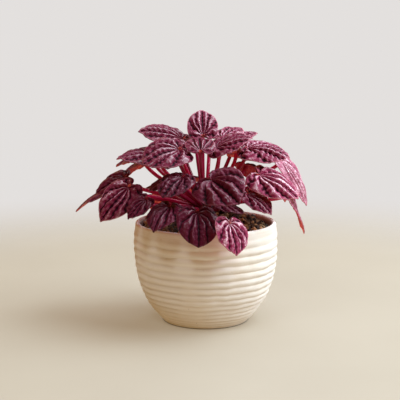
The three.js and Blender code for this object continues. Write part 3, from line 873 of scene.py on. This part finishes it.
def pot_section(pot):
    """The pot's half section, and for each point how deep in a groove and how far inside it is."""
    foot = FOOT_RADIUS * MM
    chamfer = FOOT_CHAMFER * MM
    rows = [(x, 0, 0, 0) for x in (0, FOOT_RING * foot, foot)]
    # The chamfer counts as deep in a groove, so the stoneware paints shade along the foot's edge.
    rows.append((foot + chamfer, chamfer, 1, 0))
    for along, deep in FOOT_LINES:
        rows.append((*wall_point(along * MM, -deep * FOOT_LINE_DEPTH * MM), deep, 0))

    def groove(k):
        return pot.rib_start + pot.rib_spacing * k + pot.rib_growth * k * k

    end = wall_length()
    for k in range(pot.rib_count):
        for stop in RIB_STOPS:
            along = groove(k) + stop * (groove(k + 1) - groove(k))
            if along < end - RIB_END * MM:
                deep = 1 - math.sin(math.pi * stop)
                faded = 1 - pot.rib_fade * near_top(along, end, RIB_FADE)
                rows.append((*wall_point(along, -pot.rib_depth * faded * deep), deep, 0))
    lip = pot.wall / 2
    middle = WALL_UPPER[-1][0] * MM - lip
    for turn in LIP_TURNS:
        angle = math.radians(turn)
        x, z = middle + lip * math.cos(angle), pot.height - lip + lip * math.sin(angle)
        rows.append((x, z, 0, turn == LIP_TURNS[-1]))
    rows.extend((x, z, 0, 1) for x, z in inner_wall(pot, 0))
    rows.append((0, pot.floor, 0, 1))
    return np.array(rows, float)


class PEPEROMIA_OT_throw_pot(bpy.types.Operator):
    """Trace and spin the pot, then wave its ribs as a thrown pot's are"""

    bl_idname = "peperomia.throw_pot"
    bl_label = "Throw the Pot"

    def execute(self, context):
        pot = context.scene.peperomia.pot
        rows = pot_section(pot)
        piece = trace_and_spin(rows[:, :2], POT_STEPS)
        points = read_points(piece.data)
        radius, height = np.hypot(points[:, 0], points[:, 1]), points[:, 2]
        nearest = [np.argmin(np.hypot(*(rows[:, :2] - point).T)) for point in zip(radius, height)]
        groove, inside = rows[nearest, 2:].T
        # The stoneware paints shade where this groove mask is high.
        write_layer(piece.data, "groove", groove)
        # Painted shade inside the pot, which fades out towards the top of the lip.
        write_layer(piece.data, "inside_shade", inside * (1 - near_top(height, pot.height, INSIDE_SHADE_FADE)))
        low, high = WAVE_START
        waved = ease(height, low * MM, high * MM) * (1 - near_top(height, pot.height, WAVE_FADE))
        weigh(piece, "waved", waved * (inside < 0.5))
        apply_modifier(piece, "SUBSURF", levels=1, render_levels=1)
        for name, pitch, strength, direction in (
            ("rib_wander", 26 * MM, pot.wander, "Z"),
            ("rib_flutter", 11 * MM, pot.wander * 0.45, "Z"),
            ("wall_swell", 17 * MM, pot.swell, "NORMAL"),
        ):
            ruffle(piece, name, pitch, strength, direction=direction, weights="waved")
        piece.vertex_groups.clear()
        piece.data.materials.append(stoneware(pot))
        smooth(piece)
        settle(piece, "pot_body", "stoneware", "pot")
        return {"FINISHED"}


# ---------------------------------------------------------------- the soil


def soil_edge(pot):
    """Radius and height of the soil where it meets the wall."""
    return inner_wall(pot, EDGE_GAP * MM, (SOIL_STOP,))[0]


def soil_height(soil, edge, x, y):
    """Height of the lumpy mound at places in the pot."""
    off = np.clip(np.hypot(x, y) / edge[0], 0, 1)
    turn = 2 * math.pi / soil.lump_pitch
    fine = np.sin(turn * x) * np.cos(turn * y)
    coarse = np.sin(0.5 * turn * x - 0.8 * turn * y)
    lumps = soil.lump * (fine + 0.6 * coarse) * (1 - off**LUMP_CALM)
    return edge[1] + soil.mound * (1 - off**2) + lumps


def model_chip(seed, millimetres):
    """The points and faces of a rough chip: a cube, cut once and shaken in edit mode."""
    sides = [side * MM for side in millimetres]
    chip = add_alone(bpy.ops.mesh.primitive_cube_add, size=1, scale=sides)
    bpy.ops.object.transform_apply(scale=True)
    edit_all(chip)
    bpy.ops.mesh.subdivide(number_cuts=1, smoothness=0.6)
    bpy.ops.transform.vertex_random(offset=CHIP_SHAKE * min(sides), seed=seed)
    close_edit()
    points = read_points(chip.data)
    faces = [tuple(face.vertices) for face in chip.data.polygons]
    bpy.data.objects.remove(chip)
    return points, faces


def strew(name, shapes, places, tones):
    """One mesh with a copy of a shape at each place."""
    points, faces, layer = [], [], []
    total = 0
    for (shape_points, shape_faces), place, tone in zip(shapes, places, tones):
        points.append(shape_points @ np.array(place.to_3x3()).T + np.array(place.translation))
        faces.extend(tuple(i + total for i in face) for face in shape_faces)
        layer.extend([tone] * len(shape_points))
        total += len(shape_points)
    mesh = bpy.data.meshes.new(name)
    mesh.from_pydata(np.vstack(points), [], faces)
    write_layer(mesh, "tone", layer)
    piece = bpy.data.objects.new(name, mesh)
    bpy.context.scene.collection.objects.link(piece)
    return piece


class PEPEROMIA_OT_fill_soil(bpy.types.Operator):
    """Spin the mound of soil and strew it with chips of bark and crumbs of peat"""

    bl_idname = "peperomia.fill_soil"
    bl_label = "Fill in the Soil"

    def execute(self, context):
        settings = context.scene.peperomia
        pot, soil = settings.pot, settings.soil
        edge = soil_edge(pot)
        rings = np.linspace(0, 1, SOIL_RINGS)
        section = [(edge[0] * r, edge[1] + soil.mound * (1 - r * r)) for r in rings]
        below = inner_wall(pot, UNDER_GAP * MM, UNDER_STOPS)
        piece = trace_and_spin([*section, *below, (0, below[-1][1])], SOIL_STEPS)
        apply_modifier(piece, "SUBSURF", levels=1, render_levels=1)
        points = read_points(piece.data)
        top = points[:, 2] > edge[1] - TOP_SKIN * MM
        lumpy = soil_height(soil, edge, points[:, 0], points[:, 1])
        points[:, 2] = np.where(top, lumpy, points[:, 2])
        write_points(piece.data, points)
        inner = np.hypot(points[:, 0], points[:, 1]) < edge[0] - CRUMB_RIM * MM
        weigh(piece, "crumbly", top & inner)
        ruffle(piece, "crumbs", CRUMB_PITCH * MM, CRUMB_HEIGHT * MM, 0.6, "Z", "crumbly")
        piece.vertex_groups.clear()
        piece.data.materials.append(potting_soil(soil))
        smooth(piece)
        settle(piece, "soil_bed", "soil", "soil")
        self.strew_chips(soil, edge, settings.stalk.crown_radius)
        return {"FINISHED"}

    def strew_chips(self, soil, edge, crown_radius):
        draw = random.Random(SEED)
        chips = [model_chip(seed, sides) for seed, sides in enumerate(CHIP_SIZES)]
        crumbs = [model_chip(seed, sides) for seed, sides in enumerate(CRUMB_SIZES, CRUMB_SEED)]
        for name, kinds, total, tilt, brightest in (
            ("bark_chips", chips, soil.chips, 55, 1.0),
            ("peat_crumbs", crumbs, soil.crumbs, 180, 0.7),
        ):
            shapes, places, tones = [], [], []
            for _ in range(total):
                shape = draw.choice(kinds)
                reach = np.abs(shape[0][:, :2]).max()
                low, high = crown_radius + reach, edge[0] - reach - CHIP_CLEAR * MM
                radius = math.sqrt(draw.uniform(low**2, high**2))
                turn = draw.uniform(0, 2 * math.pi)
                x, y = radius * math.cos(turn), radius * math.sin(turn)
                z = soil_height(soil, edge, x, y) + draw.uniform(*CHIP_HEIGHTS) * MM
                lean = [math.radians(draw.uniform(-tilt, tilt)) for _ in range(2)]
                euler = Euler((*lean, draw.uniform(0, 2 * math.pi)))
                grow = Vector((1, 1, 1)) * draw.uniform(*CHIP_GROWTH)
                shapes.append(shape)
                places.append(Matrix.LocRotScale(Vector((x, y, z)), euler, grow))
                tones.append(draw.uniform(0, brightest) ** CHIP_SKEW)
            piece = strew(name, shapes, places, tones)
            piece.data.materials.append(bark(soil))
            settle(piece, name, "soil")


# ---------------------------------------------------------------- crown and stalks


class Leaf:
    """One row of the table, in metres and radians."""

    def __init__(self, index, row):
        x, y, z, aim, pitch, roll, length, width, arch, cup, twist, blunt, pale, rough, folds = row
        self.index = index
        self.at = Vector((x, y, z)) * MM
        self.turn = Euler([math.radians(a) for a in (roll, -pitch, aim)]).to_matrix()
        self.normal = self.turn @ Vector((0, 0, 1))
        self.length = length * MM
        self.width = width
        self.arch, self.cup, self.twist = (math.radians(a) for a in (arch, cup, twist))
        self.blunt = blunt
        self.pale = pale
        self.rough = rough
        self.folds = folds
        self.phase = math.radians(TURN_PER_LEAF * index)


def stalk_line(leaf, stalk, blade):
    """The stalk's end points and handles. It meets its blade squarely from below."""
    end = leaf.at - leaf.normal * blade.thickness * 0.5
    start = Vector((end.x, end.y, 0)).normalized() * stalk.root_spread
    start.z = stalk.root_height
    length = (end - start).length
    away = (end - start).normalized()
    away.z += STALK_LIFT
    away.normalize()
    leave, arrive = STALK_HANDLES
    return start, start + away * leave * length, end - leaf.normal * arrive * length, end


class PEPEROMIA_OT_grow_stalks(bpy.types.Operator):
    """Grow the crown and a tapered stalk to each blade"""

    bl_idname = "peperomia.grow_stalks"
    bl_label = "Grow the Stalks"

    def execute(self, context):
        settings = context.scene.peperomia
        stalk, blade = settings.stalk, settings.blade
        pieces = [self.model_crown(stalk)]
        draw = random.Random(SEED)
        for index, row in enumerate(LEAVES):
            pieces.append(self.model_stalk(stalk_line(Leaf(index, row), stalk, blade), stalk))
            write_layer(pieces[-1].data, "tone", draw.uniform(*STALK_TONES))
        select_only(pieces[0])
        for piece in pieces[1:]:
            piece.select_set(True)
        bpy.ops.object.join()
        piece = bpy.context.object
        piece.data.materials.append(stalk_skin(stalk))
        smooth(piece)
        settle(piece, "stalks", "stalk", "crown_with_stalks")
        return {"FINISHED"}

    def model_stalk(self, line, stalk):
        """A Bezier curve with the stalk's handles, given its thickness and made a mesh."""
        start, leave, arrive, end = line
        curve = add_alone(bpy.ops.curve.primitive_bezier_curve_add)
        first, last = curve.data.splines[0].bezier_points
        for point, place, left, right in (
            (first, start, start - (leave - start), leave),
            (last, end, arrive, end + (end - arrive)),
        ):
            point.handle_left_type = point.handle_right_type = "FREE"
            point.co, point.handle_left, point.handle_right = place, left, right
        curve.data.resolution_u = 22
        curve.data.bevel_depth = stalk.radius
        curve.data.bevel_resolution = 3
        curve.data.use_fill_caps = True
        bpy.ops.object.convert(target="MESH")
        piece = bpy.context.object
        self.taper(piece.data, line, stalk)
        return piece

    def taper(self, mesh, line, stalk):
        """Thins the tube towards the middle and flares it under the blade."""
        t = np.linspace(0, 1, STALK_SAMPLES)
        axis = bezier(line, t)
        points = read_points(mesh)
        nearest = np.argmin(((points[:, None, :] - axis[None]) ** 2).sum(2), axis=1)
        along = t[nearest]
        slim = 1 - (1 - stalk.taper) * ease(along, *STALK_SLIM)
        flare = (stalk.flare - stalk.taper) * ease(along, *STALK_FLARE)
        scale = (slim + flare)[:, None]
        write_points(mesh, axis[nearest] + (points - axis[nearest]) * scale)
        write_layer(mesh, "along", along)

    def model_crown(self, stalk):
        """A short stub, swollen in the middle and lumpy from the stalks it has borne."""
        middle = (stalk.crown_top + stalk.crown_bottom) / 2
        crown = add_alone(
            bpy.ops.mesh.primitive_uv_sphere_add,
            segments=32,
            ring_count=20,
            location=(0, 0, middle),
        )
        crown.scale = (stalk.crown_radius, stalk.crown_radius, stalk.crown_top - middle)
        bpy.ops.object.transform_apply(location=True, scale=True)
        ruffle(crown, "scars", 5 * MM, 1.6 * MM, 0.7)
        write_layer(crown.data, "along", 0)
        write_layer(crown.data, "tone", 1)
        return crown


# ---------------------------------------------------------------- the blades


def outline(u, blunt):
    """The blade's outline at shares of the way from the tip, 0, to the notch, 1."""
    to_tip = np.clip(u / TIP_SHARE, 0, 1)
    tip = (1 - blunt) * bezier(POINTED_TIP, to_tip) + blunt * bezier(BLUNT_TIP, to_tip)
    lobe = bezier(OUTLINE_LOBE, np.clip((u - TIP_SHARE) / (1 - TIP_SHARE), 0, 1))
    return np.where((u < TIP_SHARE)[:, None], tip, lobe)


def lay_flat(out, vein, blunt):
    """Places on the flat blade of length 1, as columns x and y.

    out goes from the stalk, 0, to the margin, 1. vein counts veins from the midrib, 0, to the notch,
    and is below 0 on the blade's right side. The veins fan out at the stalk and turn towards the tip.
    """
    rim = (np.abs(vein) / RIDGES) ** VEIN_SPREAD
    fanned = rim + (rim**VEIN_FAN - rim) * (1 - out) ** VEIN_CURVE
    flat = outline(fanned, blunt) * out[:, None]
    flat[:, 1] *= np.sign(vein)
    return flat


def model_master(blade):
    """The flat blade of length 1: a grid bent round the stalk, sewn up at the midrib and the stalk."""
    master = add_alone(
        bpy.ops.mesh.primitive_grid_add,
        x_subdivisions=blade.around,
        y_subdivisions=blade.rings,
        size=2,
    )
    across, up, _ = read_points(master.data).T
    vein = RIDGES * (1 - np.abs(across)) * np.where(across < 0, -1, 1)
    vein -= VEIN_GATHER * np.sin(2 * math.pi * vein) / (2 * math.pi)
    out = (up + 1) / 2
    write_layer(master.data, "out", out)
    write_layer(master.data, "vein", vein)
    write_points(master.data, np.column_stack([lay_flat(out, vein, 0), np.zeros(len(out))]))
    edit_all(master)
    bpy.ops.mesh.remove_doubles(threshold=MERGE_DISTANCE)
    close_edit()
    return master


def bend(leaf, x, y, z):
    """Rolls the flat blade across its width, twists it about the midrib and rolls it lengthways."""
    across = 0.5 * leaf.length / (leaf.cup or LEAST_BEND)
    along = leaf.length / (leaf.arch or LEAST_BEND)
    y1 = (across + z) * np.sin(y / across)
    z1 = (across + z) * np.cos(y / across) - across
    twist = leaf.twist * x / leaf.length
    y2 = y1 * np.cos(twist) - z1 * np.sin(twist)
    z2 = y1 * np.sin(twist) + z1 * np.cos(twist)
    return np.column_stack(
        [(along + z2) * np.sin(x / along), y2, (along + z2) * np.cos(x / along) - along]
    )


def stray_veins(draw, out, vein):
    """Moves the veins a little, each blade's in its own way, but neither the midrib nor the margin."""
    sway, flutter, _ = (draw.uniform(-1, 1) for _ in range(3))
    stray = VEIN_SWAY * np.sin(3 * math.pi * out + 4 * sway)
    stray += VEIN_FLUTTER * np.sin(5 * vein + 6 * out + 9 * flutter)
    return vein + stray * np.sin(math.pi * out) * ease(np.abs(vein), 0.0, 0.6)


def raise_ridges(leaf, blade, draw, out, vein, reach):
    """For each vertex the relief from 0 to 1, its ridge's height and how high on a wrinkle it is.

    out and vein are as lay_flat has them. reach is the distance from the stalk.
    """
    cell = np.clip(np.floor(vein + RIDGES), 0, 2 * RIDGES - 1).astype(int)

    def each_ridge(low, high):
        return np.array([draw.uniform(low, high) for _ in range(2 * RIDGES)])[cell]

    across = np.abs(vein) % 1
    offset = each_ridge(0, 1)
    height = each_ridge(*RIDGE_HEIGHTS)
    ridge = np.sin(math.pi * across**blade.lean) ** blade.fullness
    flank = 4 * ridge * (1 - ridge)
    far = reach - blade.slant * across
    drift = WRINKLE_DRIFT * np.sin(far / (DRIFT_LENGTH * MM) + 5 * offset)
    drift += WRINKLE_SKEW * np.sin(9 * across + 7 * offset)
    rib = 0.5 - 0.5 * np.cos(2 * math.pi * (far / blade.pucker_pitch + offset) + drift)
    cut = (1 - rib) ** WRINKLE_CUT
    pucker = blade.pucker * leaf.rough * ease(out, *WRINKLE_START)
    pucker *= 1 - WRINKLE_CALM * ease(out, *WRINKLE_END)
    relief = ridge * (1 - blade.beads * pucker * cut)
    relief += pucker * (blade.bridge * rib * (1 - ridge) - cut * flank)
    start = each_ridge(*FORK_STARTS)
    off = (across - each_ridge(*FORK_PLACES)) / blade.fork_width
    relief *= 1 - blade.fork * ease(out, start, start + FORK_LENGTH) * np.exp(-(off**2))
    return relief, height, ease(rib, GLINT_START, 1.0) * pucker


def shape_leaf(mesh, leaf, blade):
    """Raises the ridges, wrinkles and waves them, and sets the blade at the end of its stalk."""
    draw = random.Random(SEED + leaf.index)
    out, vein = read_layer(mesh, "out"), read_layer(mesh, "vein")
    x, y = (lay_flat(out, vein, leaf.blunt) * leaf.length).T
    y *= leaf.width
    vein = stray_veins(draw, out, vein)
    relief, height, wrinkle = raise_ridges(leaf, blade, draw, out, vein, np.hypot(x, y))
    turn = np.arctan2(y, x)
    swell = 3 * out * (1 - out) + blade.margin_relief * out
    wave = leaf.length * blade.wave * out**2 * np.sin(MARGIN_WAVES * turn + leaf.phase)
    ripple = RIPPLE_HEIGHT * MM * out**3 * np.sin(MARGIN_RIPPLES * turn + 3 * leaf.phase)
    z = leaf.length * blade.relief * leaf.folds * swell * relief * height + wave + ripple
    write_points(mesh, bend(leaf, x, y, z) @ np.array(leaf.turn).T + np.array(leaf.at))
    # The leaves with a low pale are darker: partly their own colour and partly painted shade on those in
    # shade. The rest of the tone is random.
    tone = draw.uniform(*BLADE_TONES) * (blade.shade + (1 - blade.shade) * leaf.pale)
    for name, values in (
        ("relief", relief),
        ("wrinkle", wrinkle),
        ("tone", tone),
        ("pale", leaf.pale),
    ):
        write_layer(mesh, name, values)


class PEPEROMIA_OT_grow_blades(bpy.types.Operator):
    """Copy the flat blade for each leaf, and ridge, wrinkle, roll and place the copy"""

    bl_idname = "peperomia.grow_blades"
    bl_label = "Grow the Blades"

    def execute(self, context):
        blade = context.scene.peperomia.blade
        master = model_master(blade)
        finishes = blade_top(blade), blade_under(blade)
        for index, row in enumerate(LEAVES):
            piece = master.copy()
            piece.data = master.data.copy()
            context.scene.collection.objects.link(piece)
            shape_leaf(piece.data, Leaf(index, row), blade)
            for finish in finishes:
                piece.data.materials.append(finish)
            apply_modifier(
                piece,
                "SOLIDIFY",
                thickness=blade.thickness,
                offset=-1,
                material_offset=1,
                material_offset_rim=0,
            )
            smooth(piece)
            number = f"{index + 1:02d}"
            settle(piece, "leaf_" + number, "blade", "leaf_blade_" + number)
        bpy.data.objects.remove(master)
        return {"FINISHED"}


# ---------------------------------------------------------------- stage


class PEPEROMIA_OT_set_stage(bpy.types.Operator):
    """Lay the floor, hang the lights and stand the camera where the photograph was taken"""

    bl_idname = "peperomia.set_stage"
    bl_label = "Set the Stage"

    def execute(self, context):
        scene = context.scene
        stage = scene.peperomia.stage
        floor = add_alone(bpy.ops.mesh.primitive_plane_add, size=stage.floor_size)
        floor.name = "floor"
        floor.data.materials.append(floor_paint(stage))

        scene.world = bpy.data.worlds.new("air")
        scene.world.use_nodes = True
        air = Nodes(scene.world.node_tree)
        seen = air.add("LightPath").outputs["Is Camera Ray"]
        both = air.mix(seen, stage.air, stage.backdrop)
        air.feed(air.tree.nodes["Background"].inputs["Color"], both)

        bearing, rise = math.radians(KEY_BEARING), math.radians(KEY_RISE)
        level = math.cos(rise)
        key = Vector((level * math.cos(bearing), level * math.sin(bearing), math.sin(rise)))
        top = (*TOP_PLACE, stage.top_height)
        sky = (*SKY_PLACE, stage.sky_height)
        for name, place, tint, strength, width in (
            ("key_light", key * stage.key_distance, stage.key, stage.key_power, stage.key_size),
            ("top_light", top, stage.above, stage.top_power, stage.top_size),
            ("sky_light", sky, stage.above, stage.sky_power, stage.sky_size),
        ):
            self.hang(name, Vector(place), tint, strength, width)

        scene.camera = add_alone(
            bpy.ops.object.camera_add,
            location=[part * MM for part in CAMERA_PLACE],
            rotation=(math.radians(90 - CAMERA_TILT), 0, 0),
        )
        scene.camera.name = "camera"
        scene.camera.data.lens = LENS
        scene.camera.data.sensor_width = SENSOR
        scene.view_settings.view_transform = "Standard"
        return {"FINISHED"}

    def hang(self, name, place, tint, strength, width):
        """Hangs a square softbox that faces the plant."""
        aim = (Vector(LIGHT_TARGET) - place).to_track_quat("-Z", "Y").to_euler()
        light = add_alone(bpy.ops.object.light_add, type="AREA", location=place, rotation=aim)
        light.name = name
        light.data.size = width
        light.data.color = tint
        light.data.energy = strength


# ---------------------------------------------------------------- panel and run


class PEPEROMIA_PT_panel(bpy.types.Panel):
    """The sizes, the colours and the steps, in the sidebar"""

    bl_label = "Potted Peperomia"
    bl_idname = "PEPEROMIA_PT_panel"
    bl_space_type = "VIEW_3D"
    bl_region_type = "UI"
    bl_category = "Peperomia"

    def draw(self, context):
        settings = context.scene.peperomia
        for name, step in STEPS:
            group = getattr(settings, name)
            box = self.layout.box()
            for key in group.__annotations__:
                box.prop(group, key)
            box.operator("peperomia." + step)


STEPS = (
    ("pot", "throw_pot"),
    ("soil", "fill_soil"),
    ("stalk", "grow_stalks"),
    ("blade", "grow_blades"),
    ("stage", "set_stage"),
)

CLASSES = (
    PotSettings,
    SoilSettings,
    StalkSettings,
    BladeSettings,
    StageSettings,
    PeperomiaSettings,
    PEPEROMIA_OT_throw_pot,
    PEPEROMIA_OT_fill_soil,
    PEPEROMIA_OT_grow_stalks,
    PEPEROMIA_OT_grow_blades,
    PEPEROMIA_OT_set_stage,
    PEPEROMIA_PT_panel,
)


def register():
    for cls in CLASSES:
        bpy.utils.register_class(cls)
    bpy.types.Scene.peperomia = bpy.props.PointerProperty(type=PeperomiaSettings)


def unregister():
    del bpy.types.Scene.peperomia
    for cls in reversed(CLASSES):
        bpy.utils.unregister_class(cls)


def main():
    register()
    for _, step in STEPS:
        getattr(bpy.ops.peperomia, step)()


if __name__ == "__main__":
    main()
